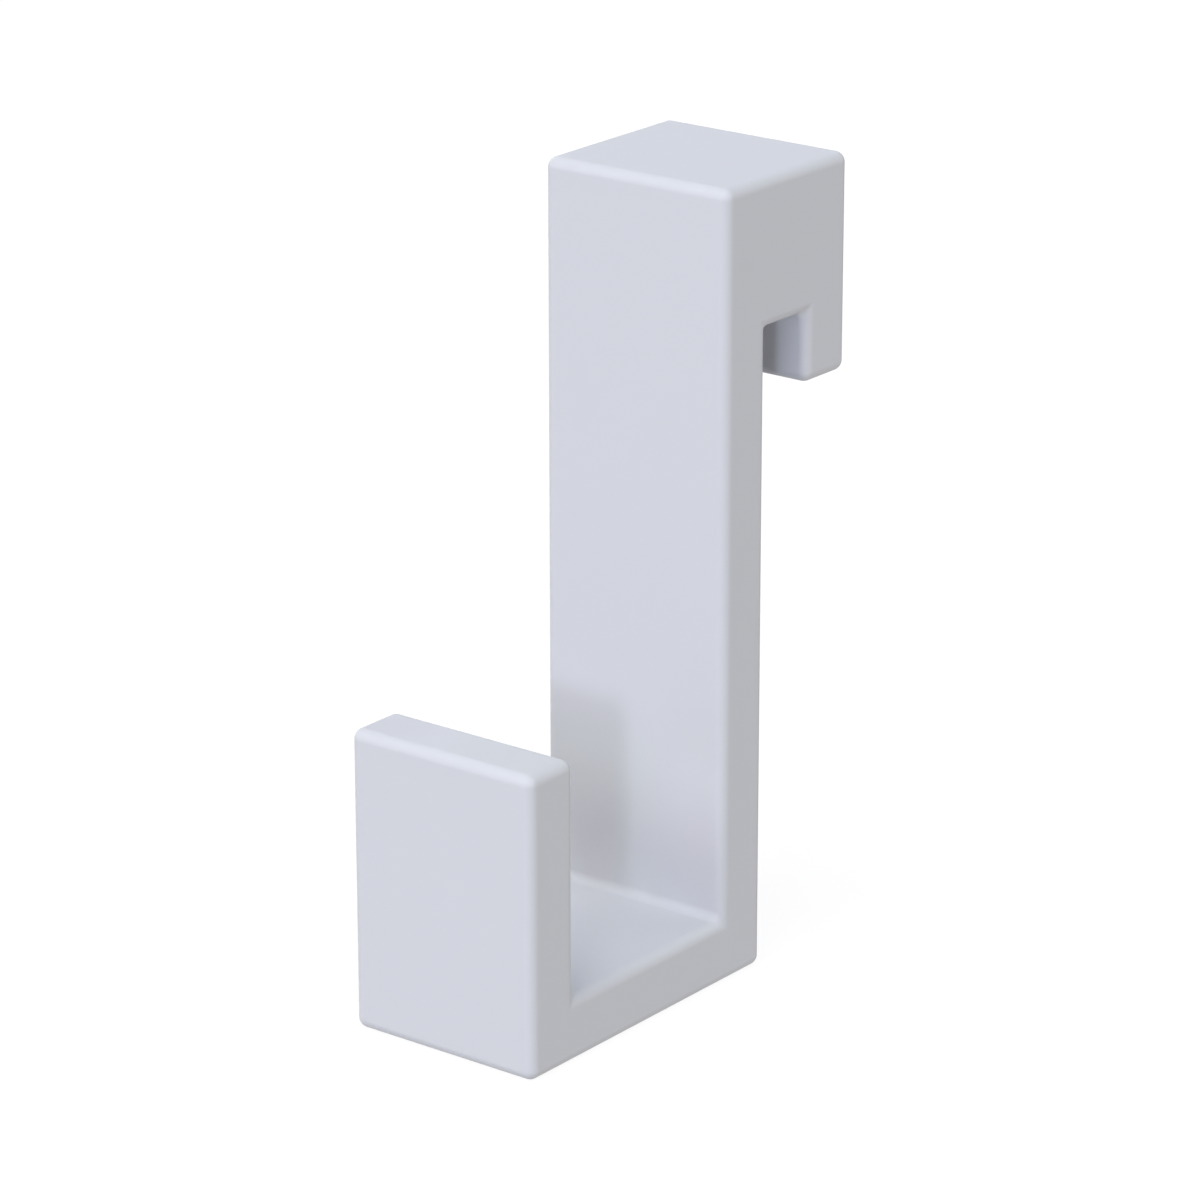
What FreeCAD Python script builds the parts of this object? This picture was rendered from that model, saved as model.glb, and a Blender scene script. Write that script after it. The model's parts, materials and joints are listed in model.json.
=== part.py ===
"""Over-the-glass hook for a shower screen, moulded in one piece.

The hook hangs on the top edge of a sheet of 6 mm glass. A square-cornered profile runs unchanged across its
width: a deep cap sits on the glass, a short lip drops behind it, a flat strap drops in front of it, and the
strap's foot turns forward into a shelf and up into a tab, which together hold what hangs there. Every outer
edge is rounded by one radius, and every inside corner of the profile by another.

Millimetres. The origin is the middle of the slot's ceiling, where the hook bears on the glass. X runs across
the hook, -Y points into the room, towards the tab, and Z is up.
"""

import FreeCAD
import Part

import os

import Sketcher

OUTPUT_FOLDER = "parts"

# Driving dimensions: name, size in mm, what it measures.
SIZES = [
    ("hook_width", 22.0, "across the hook, side to side"),
    ("glass_slot", 6.5, "gap that takes the glass, 6 mm and its clearance"),
    ("strap_wall", 6.7, "thickness of the strap in front of the glass"),
    ("lip_wall", 6.7, "thickness of the lip behind the glass"),
    ("cap_height", 14.9, "solid height above the slot"),
    ("lip_drop", 7.2, "how far the lip reaches down behind the glass"),
    ("strap_drop", 66.0, "from the slot's ceiling to the shelf's underside"),
    ("shelf_wall", 6.7, "thickness of the shelf"),
    ("throat_gap", 23.4, "room between the strap and the tab"),
    ("tab_wall", 6.7, "thickness of the tab"),
    ("tab_rise", 24.3, "how far the tab stands above the shelf"),
    ("edge_round", 1.1, "radius of every outer edge"),
    ("hollow_round", 0.95, "radius of the profile's inside corners"),
]

# Two points nearer than this are the same point.
SAME_POINT = 1e-4


def make_sizes(doc):
    """The spreadsheet that holds the driving dimensions, one row each."""
    sheet = doc.addObject("Spreadsheet::Sheet", "sizes")
    for row, (name, size, meaning) in enumerate(SIZES, start=1):
        sheet.set(f"A{row}", name)
        sheet.set(f"B{row}", str(size))
        sheet.set(f"C{row}", meaning)
        sheet.setAlias(f"B{row}", name)
    doc.recompute()
    return sheet


def profile_corners(sheet):
    """The profile's corners in order, as (y, z, is_inside_corner), seen from the hook's right side."""
    strap_back = -sheet.glass_slot / 2
    strap_front = strap_back - sheet.strap_wall
    lip_front = sheet.glass_slot / 2
    lip_back = lip_front + sheet.lip_wall
    tab_back = strap_front - sheet.throat_gap
    tab_front = tab_back - sheet.tab_wall
    underside = -sheet.strap_drop
    shelf_top = underside + sheet.shelf_wall
    tab_top = shelf_top + sheet.tab_rise
    return [
        (strap_front, sheet.cap_height, False),
        (lip_back, sheet.cap_height, False),
        (lip_back, -sheet.lip_drop, False),
        (lip_front, -sheet.lip_drop, False),
        (lip_front, 0.0, True),
        (strap_back, 0.0, True),
        (strap_back, underside, False),
        (tab_front, underside, False),
        (tab_front, tab_top, False),
        (tab_back, tab_top, False),
        (tab_back, shelf_top, True),
        (strap_front, shelf_top, True),
    ]


# The profile's sides, each numbered by the corner that it starts from.
(CAP_TOP, LIP_BACK, LIP_FOOT, LIP_FRONT, CEILING, STRAP_BACK,
 UNDERSIDE, TAB_FRONT, TAB_TOP, TAB_BACK, SHELF_TOP, STRAP_FRONT) = range(12)
START, END = 1, 2
ORIGIN_POINT = (-1, 1)


def make_profile(body, sheet):
    """The hook's outline with sharp corners, drawn on the plane square to its width and tied to the sizes."""
    plane = next(f for f in body.Origin.OriginFeatures if f.Role == "YZ_Plane")
    sketch = body.newObject("Sketcher::SketchObject", "profile")
    sketch.AttachmentSupport = (plane, [""])
    sketch.MapMode = "FlatFace"

    corners = [FreeCAD.Vector(y, z, 0) for y, z, _ in profile_corners(sheet)]
    sides = list(zip(corners, corners[1:] + corners[:1]))
    for first, last in sides:
        sketch.addGeometry(Part.LineSegment(first, last))
    for side, (first, last) in enumerate(sides):
        level = abs(first.y - last.y) < SAME_POINT
        sketch.addConstraint(Sketcher.Constraint("Horizontal" if level else "Vertical", side))
        following = (side + 1) % len(sides)
        sketch.addConstraint(Sketcher.Constraint("Coincident", side, END, following, START))
    sketch.addConstraint(Sketcher.Constraint("Symmetric", CEILING, START, CEILING, END, *ORIGIN_POINT))

    def tie(kind, from_side, from_end, to_side, to_end, name):
        """A dimension between two corners, driven by the size of that name."""
        size = sheet.get(name)
        index = sketch.addConstraint(
            Sketcher.Constraint(kind, from_side, from_end, to_side, to_end, size))
        sketch.renameConstraint(index, name)
        sketch.setExpression(f"Constraints.{name}", f"{sheet.Name}.{name}")

    tie("DistanceX", CEILING, END, CEILING, START, "glass_slot")
    tie("DistanceX", STRAP_FRONT, START, STRAP_BACK, START, "strap_wall")
    tie("DistanceX", LIP_FOOT, END, LIP_FOOT, START, "lip_wall")
    tie("DistanceY", CEILING, START, CAP_TOP, END, "cap_height")
    tie("DistanceY", LIP_FRONT, START, LIP_FRONT, END, "lip_drop")
    tie("DistanceY", STRAP_BACK, END, STRAP_BACK, START, "strap_drop")
    tie("DistanceY", UNDERSIDE, END, SHELF_TOP, START, "shelf_wall")
    tie("DistanceX", SHELF_TOP, START, SHELF_TOP, END, "throat_gap")
    tie("DistanceX", TAB_TOP, START, TAB_TOP, END, "tab_wall")
    tie("DistanceY", TAB_BACK, END, TAB_BACK, START, "tab_rise")
    return sketch


def make_blank(body, sketch, sheet):
    """The profile carried across the hook's width, half to each side of the middle."""
    blank = body.newObject("PartDesign::Pad", "blank")
    blank.Profile = sketch
    blank.SideType = "Symmetric"
    blank.Length = sheet.hook_width
    blank.setExpression("Length", f"{sheet.Name}.hook_width")
    return blank


def runs_across(edge):
    """True for an edge that runs across the hook's width."""
    ends = [vertex.Point for vertex in edge.Vertexes]
    return len(ends) == 2 and abs(ends[1].x - ends[0].x) > SAME_POINT


def inside_corner_edges(shape, sheet):
    """Names of the edges across the width that stand at the profile's inside corners."""
    hollows = [(y, z) for y, z, is_inside in profile_corners(sheet) if is_inside]

    def at_hollow(edge):
        spot = edge.Vertexes[0].Point
        return any(abs(spot.y - y) < SAME_POINT and abs(spot.z - z) < SAME_POINT for y, z in hollows)

    return [f"Edge{number}" for number, edge in enumerate(shape.Edges, start=1)
            if runs_across(edge) and at_hollow(edge)]


def outer_edges(shape, sheet):
    """Names of the edges that border the two sides, and of those across the width at outer corners."""
    outer = [(y, z) for y, z, is_inside in profile_corners(sheet) if not is_inside]
    side_at = sheet.hook_width / 2

    def on_a_side(edge):
        box = edge.BoundBox
        return box.XLength < SAME_POINT and abs(abs(box.XMin) - side_at) < SAME_POINT

    def at_outer_corner(edge):
        spot = edge.Vertexes[0].Point
        return any(abs(spot.y - y) < SAME_POINT and abs(spot.z - z) < SAME_POINT for y, z in outer)

    return [f"Edge{number}" for number, edge in enumerate(shape.Edges, start=1)
            if on_a_side(edge) or (runs_across(edge) and at_outer_corner(edge))]


def round_edges(body, base, edge_names, sheet, name, size_name):
    """A fillet on the named edges of the feature before it, its radius driven by the size of that name."""
    fillet = body.newObject("PartDesign::Fillet", name)
    fillet.Base = (base, edge_names)
    fillet.Radius = sheet.get(size_name)
    fillet.setExpression("Radius", f"{sheet.Name}.{size_name}")
    return fillet


def make_hook(doc, sheet):
    """The whole hook: profile, width, every outer edge, then the inside corners."""
    body = doc.addObject("PartDesign::Body", "screen_hook")
    body.Label = "screen_hook"
    blank = make_blank(body, make_profile(body, sheet), sheet)
    doc.recompute()
    rounded = round_edges(body, blank, outer_edges(blank.Shape, sheet), sheet,
                          "outer_corners", "edge_round")
    doc.recompute()
    hollowed = round_edges(body, rounded, inside_corner_edges(rounded.Shape, sheet), sheet,
                           "hollow_corners", "hollow_round")
    body.Tip = hollowed
    doc.recompute()
    # An outer edge's fillet takes material away, and an inside corner's adds some.
    if not (rounded.Shape.Volume < blank.Shape.Volume and hollowed.Shape.Volume > rounded.Shape.Volume):
        raise RuntimeError("a fillet left the hook's volume as it was")
    return body


def check_document(doc, bodies):
    """Stops the build where an object failed, or a body is empty, broken or more than one solid."""
    failed = [thing.Name for thing in doc.Objects if {"Invalid", "Error"} & set(thing.State)]
    if failed:
        raise RuntimeError(f"these objects failed to compute: {failed}")
    for body in bodies:
        if body.Shape.isNull() or not body.Shape.isValid() or len(body.Shape.Solids) != 1:
            raise RuntimeError(f"{body.Label} isn't one sound solid")


def main():
    doc = FreeCAD.newDocument("shower_screen_hook")
    sheet = make_sizes(doc)
    bodies = [make_hook(doc, sheet)]
    check_document(doc, bodies)
    os.makedirs(OUTPUT_FOLDER, exist_ok=True)
    for body in bodies:
        body.Shape.exportStep(os.path.join(OUTPUT_FOLDER, f"{body.Label}.step"))
        box = body.Shape.BoundBox
        print(f"{body.Label}: {len(body.Shape.Faces)} faces, {body.Shape.Volume:.1f} mm3, "
              f"{box.XLength:.2f} x {box.YLength:.2f} x {box.ZLength:.2f} mm")


main()
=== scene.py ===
"""The look of the shower screen hook: pale moulded plastic, on a plain floor in soft studio light.

Metres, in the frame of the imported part: the origin is the middle of the glass slot's ceiling, X runs
across the hook, -Y points into the room, towards the tab, and Z is up.
"""

import json
import math

import bpy
from mathutils import Matrix, Vector


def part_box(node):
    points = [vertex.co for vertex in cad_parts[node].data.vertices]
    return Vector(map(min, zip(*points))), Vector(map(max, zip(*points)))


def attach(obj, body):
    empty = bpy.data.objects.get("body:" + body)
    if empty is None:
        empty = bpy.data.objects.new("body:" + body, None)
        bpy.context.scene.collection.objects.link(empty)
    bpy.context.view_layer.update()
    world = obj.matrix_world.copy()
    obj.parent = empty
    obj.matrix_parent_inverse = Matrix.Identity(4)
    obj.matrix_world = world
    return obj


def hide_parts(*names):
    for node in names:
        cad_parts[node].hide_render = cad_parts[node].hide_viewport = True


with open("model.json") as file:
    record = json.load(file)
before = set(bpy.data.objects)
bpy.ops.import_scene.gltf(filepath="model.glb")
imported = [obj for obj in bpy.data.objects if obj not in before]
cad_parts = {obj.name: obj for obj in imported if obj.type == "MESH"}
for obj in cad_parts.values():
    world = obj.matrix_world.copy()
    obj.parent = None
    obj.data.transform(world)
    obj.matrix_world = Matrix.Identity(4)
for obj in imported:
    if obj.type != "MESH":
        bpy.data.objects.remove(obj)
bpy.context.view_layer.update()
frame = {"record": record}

HOOK = "screen_hook"
MM = 0.001

# The part's own sizes, from its box and its mounts.
LOW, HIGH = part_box(HOOK)
MOUNTS = {mount["name"]: Vector(mount["pos_m"]) for mount in frame["record"]["mounts"]}
HALF_WIDTH = HIGH.x
CEILING = MOUNTS["glass_seat"].z
STRAP_BACK = MOUNTS["strap_back"].y
LIP_FRONT = MOUNTS["lip_front"].y
SHELF_TOP = MOUNTS["shelf_top"].z

# Sizes that the box and the mounts don't give.
STRAP_WALL = 6.7 * MM
TAB_WALL = 6.7 * MM
LIP_DROP = 7.2 * MM
TAB_RISE = 24.3 * MM
EDGE_ROUND = 1.1 * MM
HOLLOW_ROUND = 0.95 * MM

# Steps that each rounded edge is divided into, over a quarter turn.
ROUND_STEPS = 14

# The camera, as fitted to the hook's outline in a square frame. Angles in degrees, sensor and lens in mm.
VIEW_AZIMUTH = 37.788
VIEW_ELEVATION = 19.206
VIEW_ROLL = -0.052
VIEW_DISTANCE = 505.74 * MM
VIEW_POINT = Vector((-4.146, -9.95, -28.899)) * MM
SENSOR_WIDTH = 36.0
FOCAL_LENGTH = 154.25

# The plastic's colour and roughness, how far each wanders from its value, and how mirror-like it is.
PLASTIC_COLOUR = (0.66, 0.67, 0.70)
COLOUR_DRIFT = 0.004
PLASTIC_ROUGHNESS = 0.6
ROUGHNESS_DRIFT = 0.04
PLASTIC_SPECULAR = 0.3
# How far across a patch of that drift is, and how many finer layers its noise has.
DRIFT_PATCH = 14 * MM
DRIFT_LAYERS = 3
# The same for a dimple of the plastic's fine grain, and how deep it is.
GRAIN_DIMPLE = 0.25 * MM
GRAIN_LAYERS = 2
GRAIN_DEPTH = 0.0006 * MM

WHITE = (1, 1, 1, 1)

# Even light from all round, and the light that the floor throws back at the hook.
ROOM_LIGHT = (0.07, 0.07, 0.07)
FLOOR_LIGHT = (0.43, 0.42, 0.43)
FLOOR_HALF = 3.0
# What the camera sees of the floor: a white glow, and a little of the light that falls on it.
FLOOR_GLOW = 0.9
FLOOR_SHADE = 0.15

# The lamps, all far off: name, azimuth, elevation and spread in degrees, and the red, green and blue
# light that each throws on a surface facing it.
LAMPS = [
    ("key_core", 26, 8, 7, (0.15, 0.17, 0.19)),
    ("key_wide", 19, 16, 15, (0.10, 0.09, 0.13)),
    ("front_low", -30, 6, 12, (0.04, 0.05, 0.06)),
    ("left_low", -50, 3, 10, (0.14, 0.13, 0.11)),
    ("front", -3, 30, 17, (0.18, 0.20, 0.20)),
    ("front_left", -25, 35, 12, (0.10, 0.08, 0.08)),
    ("front_high", 14, 56, 18, (0.06, 0.05, 0.04)),
    ("top", -7, 76, 30, (0.26, 0.28, 0.29)),
    ("top_right", 55, 58, 19, (0.13, 0.14, 0.17)),
    ("right", 96, 9, 23, (0.25, 0.24, 0.21)),
    ("back_right", 153, 46, 10, (0.05, 0.06, 0.06)),
    ("back", -160, 26, 6, (0.05, 0.05, 0.08)),
    ("left", -110, 26, 50, (0.24, 0.24, 0.26)),
]


def profile_corners():
    """The profile's sharp corners in order, as (y, z, is_inside), seen from the hook's right side."""
    strap_front = STRAP_BACK - STRAP_WALL
    tab_back = LOW.y + TAB_WALL
    tab_top = SHELF_TOP + TAB_RISE
    lip_foot = CEILING - LIP_DROP
    return [
        (strap_front, HIGH.z, False),
        (HIGH.y, HIGH.z, False),
        (HIGH.y, lip_foot, False),
        (LIP_FRONT, lip_foot, False),
        (LIP_FRONT, CEILING, True),
        (STRAP_BACK, CEILING, True),
        (STRAP_BACK, LOW.z, False),
        (LOW.y, LOW.z, False),
        (LOW.y, tab_top, False),
        (tab_back, tab_top, False),
        (tab_back, SHELF_TOP, True),
        (strap_front, SHELF_TOP, True),
    ]


def quarter(step):
    """The angle of one of the steps of a quarter turn."""
    return math.pi / 2 * step / ROUND_STEPS


def profile_turns():
    """The profile's corners in order, as (corner, from_side, to_side, is_inside).

    The second and third point outwards from the side before the corner and from the one after it. These
    and the corner are vectors in the plane square to the width.
    """
    corners = [(Vector((0, y, z)), is_inside) for y, z, is_inside in profile_corners()]
    turns = []
    for number, (corner, is_inside) in enumerate(corners):
        arriving = (corner - corners[number - 1][0]).normalized()
        leaving = (corners[(number + 1) % len(corners)][0] - corner).normalized()
        # The corners run clockwise, so outwards is to the left of the way along a side.
        from_side = Vector((0, -arriving.z, arriving.y))
        to_side = Vector((0, -leaving.z, leaving.y))
        turns.append((corner, from_side, to_side, is_inside))
    return turns


def rounded_place(turn, side, tilt, share):
    """A place on a corner's round, and the way outwards there.

    The tilt turns from the profile towards the side face given by its sign, and the share runs round the
    corner. An outer corner's round is part of a ball inside the plastic. An inside corner's is the track
    of a ball in the open, which leans on the rims of the two sides that meet there.
    """
    corner, from_side, to_side, is_inside = turn
    across = Vector((side, 0, 0))
    before = math.cos(tilt) * from_side + math.sin(tilt) * across
    after = math.cos(tilt) * to_side + math.sin(tilt) * across
    outward = before.slerp(after, share)
    rim_middle = corner - EDGE_ROUND * (from_side + to_side) + (HALF_WIDTH - EDGE_ROUND) * across
    if not is_inside:
        return rim_middle + EDGE_ROUND * outward, outward
    lean = math.cos(tilt) * (from_side + to_side) + math.sin(tilt) * across
    ball = rim_middle + (EDGE_ROUND + HOLLOW_ROUND) * lean
    return ball - HOLLOW_ROUND * outward, outward


def hook_mesh():
    """The hook as one closed mesh: the rounded profile, drawn in step by step towards each side face."""
    turns = profile_turns()
    points = []
    normals = []

    def add_ring(side, step):
        """One run round the profile, at a step of the rounded rim on the side given by its sign."""
        ring = []
        for turn in turns:
            for part in range(ROUND_STEPS + 1):
                # The rim's last step draws each corner in to a point.
                if step == ROUND_STEPS and part:
                    ring.append(ring[-1])
                    continue
                point, outward = rounded_place(turn, side, quarter(step), part / ROUND_STEPS)
                ring.append(len(points))
                points.append(point)
                normals.append(outward)
        return ring

    # The rings run from the left side face to the right one.
    rings = [add_ring(-1, step) for step in reversed(range(ROUND_STEPS + 1))]
    rings += [add_ring(1, step) for step in range(ROUND_STEPS + 1)]

    faces = []
    for left, right in zip(rings, rings[1:]):
        for number in range(len(left)):
            corners = [left[number - 1], right[number - 1], right[number], left[number]]
            unique = list(dict.fromkeys(corners))
            if len(unique) > 2:
                faces.append(unique)
    faces.append(list(dict.fromkeys(rings[0])))
    faces.append(list(dict.fromkeys(reversed(rings[-1]))))

    mesh = bpy.data.meshes.new("moulded_hook")
    mesh.from_pydata(points, [], faces)
    mesh.polygons.foreach_set("use_smooth", [True] * len(mesh.polygons))
    mesh.normals_split_custom_set_from_vertices(normals)
    mesh.update()
    return mesh


def add_node(tree, kind, **inputs):
    """A node of a kind, with some of its inputs set by name."""
    node = tree.nodes.new(kind)
    for name, value in inputs.items():
        node.inputs[name.replace("_", " ")].default_value = value
    return node


def noise(tree, place, patch, layers):
    """Cloudy noise over the hook, its patches about this far across, with this many finer layers."""
    node = add_node(tree, "ShaderNodeTexNoise", Scale=1 / patch, Detail=layers)
    tree.links.new(place.outputs["Object"], node.inputs["Vector"])
    return node


def moulded_plastic():
    """Pale moulded plastic: nearly even, with a faint drift of colour and gloss and a very fine grain."""
    material = bpy.data.materials.new("moulded_plastic")
    material.use_nodes = True
    tree = material.node_tree
    shader = tree.nodes["Principled BSDF"]
    shader.inputs["Specular IOR Level"].default_value = PLASTIC_SPECULAR
    place = tree.nodes.new("ShaderNodeTexCoord")

    drift = noise(tree, place, DRIFT_PATCH, DRIFT_LAYERS)
    tint = tree.nodes.new("ShaderNodeValToRGB")
    for stop, change in zip(tint.color_ramp.elements, (-COLOUR_DRIFT, COLOUR_DRIFT)):
        stop.color = (*[channel * (1 + change) for channel in PLASTIC_COLOUR], 1)
    tree.links.new(drift.outputs["Fac"], tint.inputs["Fac"])
    tree.links.new(tint.outputs["Color"], shader.inputs["Base Color"])

    gloss = add_node(tree, "ShaderNodeMapRange", To_Min=PLASTIC_ROUGHNESS - ROUGHNESS_DRIFT,
                     To_Max=PLASTIC_ROUGHNESS + ROUGHNESS_DRIFT)
    tree.links.new(drift.outputs["Fac"], gloss.inputs["Value"])
    tree.links.new(gloss.outputs["Result"], shader.inputs["Roughness"])

    dimples = noise(tree, place, GRAIN_DIMPLE, GRAIN_LAYERS)
    grain = add_node(tree, "ShaderNodeBump", Distance=GRAIN_DEPTH)
    tree.links.new(dimples.outputs["Fac"], grain.inputs["Height"])
    tree.links.new(grain.outputs["Normal"], shader.inputs["Normal"])
    return material


def make_hook():
    """The hook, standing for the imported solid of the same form."""
    hook = bpy.data.objects.new("moulded_hook", hook_mesh())
    bpy.context.scene.collection.objects.link(hook)
    hook.data.materials.append(moulded_plastic())
    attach(hook, "root")
    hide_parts(HOOK)


def seen_or_mirrored(tree):
    """A socket that is 1 for rays from the camera, a glossy surface or glass, and 0 for the rest."""
    path = tree.nodes.new("ShaderNodeLightPath")
    socket = path.outputs["Is Camera Ray"]
    for name in ("Is Glossy Ray", "Is Transmission Ray"):
        either = tree.nodes.new("ShaderNodeMath")
        either.operation = "MAXIMUM"
        tree.links.new(socket, either.inputs[0])
        tree.links.new(path.outputs[name], either.inputs[1])
        socket = either.outputs[0]
    return socket


def show_and_light(tree, lighting, showing, output):
    """Joins two shaders to an output: one lights other surfaces, and the other is what is seen."""
    switch = tree.nodes.new("ShaderNodeMixShader")
    tree.links.new(seen_or_mirrored(tree), switch.inputs["Fac"])
    tree.links.new(lighting.outputs[0], switch.inputs[1])
    tree.links.new(showing.outputs[0], switch.inputs[2])
    tree.links.new(switch.outputs[0], output.inputs["Surface"])


def floor_material():
    """A white floor that keeps a pale shadow, and throws a plain even light back at the hook."""
    material = bpy.data.materials.new("floor")
    material.use_nodes = True
    tree = material.node_tree
    tree.nodes.clear()
    bounce = add_node(tree, "ShaderNodeEmission", Color=(*FLOOR_LIGHT, 1), Strength=1.0)
    shade = add_node(tree, "ShaderNodeBsdfDiffuse", Color=(FLOOR_SHADE, FLOOR_SHADE, FLOOR_SHADE, 1))
    glow = add_node(tree, "ShaderNodeEmission", Color=WHITE, Strength=FLOOR_GLOW)
    white = tree.nodes.new("ShaderNodeAddShader")
    tree.links.new(shade.outputs[0], white.inputs[0])
    tree.links.new(glow.outputs[0], white.inputs[1])
    show_and_light(tree, bounce, white, tree.nodes.new("ShaderNodeOutputMaterial"))
    return material


def make_floor():
    """A wide plain floor under the hook."""
    signs = [(-1, -1), (1, -1), (1, 1), (-1, 1)]
    corners = [(x * FLOOR_HALF, y * FLOOR_HALF, LOW.z) for x, y in signs]
    mesh = bpy.data.meshes.new("floor")
    mesh.from_pydata(corners, [], [(0, 1, 2, 3)])
    mesh.materials.append(floor_material())
    floor = bpy.data.objects.new("floor", mesh)
    bpy.context.scene.collection.objects.link(floor)


def towards(azimuth, elevation):
    """The direction at an azimuth, 0 in front and 90 to the hook's right, and an elevation, in degrees."""
    turn = math.radians(azimuth)
    rise = math.radians(elevation)
    return Vector((math.sin(turn) * math.cos(rise), -math.cos(turn) * math.cos(rise), math.sin(rise)))


def make_lamp(name, azimuth, elevation, spread, light):
    """A soft lamp far off in a direction, with the light that it throws on a surface facing it."""
    lamp = bpy.data.lights.new(name, "SUN")
    strength = max(light)
    lamp.energy = math.pi * strength
    lamp.color = [channel / strength for channel in light]
    lamp.angle = math.radians(spread)
    sun = bpy.data.objects.new(name, lamp)
    bpy.context.scene.collection.objects.link(sun)
    sun.rotation_euler = towards(azimuth, elevation).to_track_quat("Z", "Y").to_euler()


def make_world():
    """A plain room: even light all round, white wherever it is seen."""
    world = bpy.data.worlds.new("studio")
    world.use_nodes = True
    tree = world.node_tree
    tree.nodes.clear()
    even = add_node(tree, "ShaderNodeBackground", Color=(*ROOM_LIGHT, 1), Strength=1.0)
    white = add_node(tree, "ShaderNodeBackground", Color=WHITE, Strength=1.0)
    show_and_light(tree, even, white, tree.nodes.new("ShaderNodeOutputWorld"))
    bpy.context.scene.world = world


def make_camera():
    """The camera at the photograph's angle, fitted for a square frame."""
    back = towards(VIEW_AZIMUTH, VIEW_ELEVATION)
    lens = bpy.data.cameras.new("camera")
    lens.sensor_width = SENSOR_WIDTH
    lens.lens = FOCAL_LENGTH
    camera = bpy.data.objects.new("camera", lens)
    bpy.context.scene.collection.objects.link(camera)
    level = back.to_track_quat("Z", "Y").to_matrix().to_4x4()
    camera.matrix_world = (Matrix.Translation(VIEW_POINT + back * VIEW_DISTANCE) @ level
                           @ Matrix.Rotation(math.radians(VIEW_ROLL), 4, "Z"))
    bpy.context.scene.camera = camera


make_camera()
make_hook()
make_floor()
make_world()
for lamp in LAMPS:
    make_lamp(*lamp)
bpy.context.scene.view_settings.view_transform = "Standard"
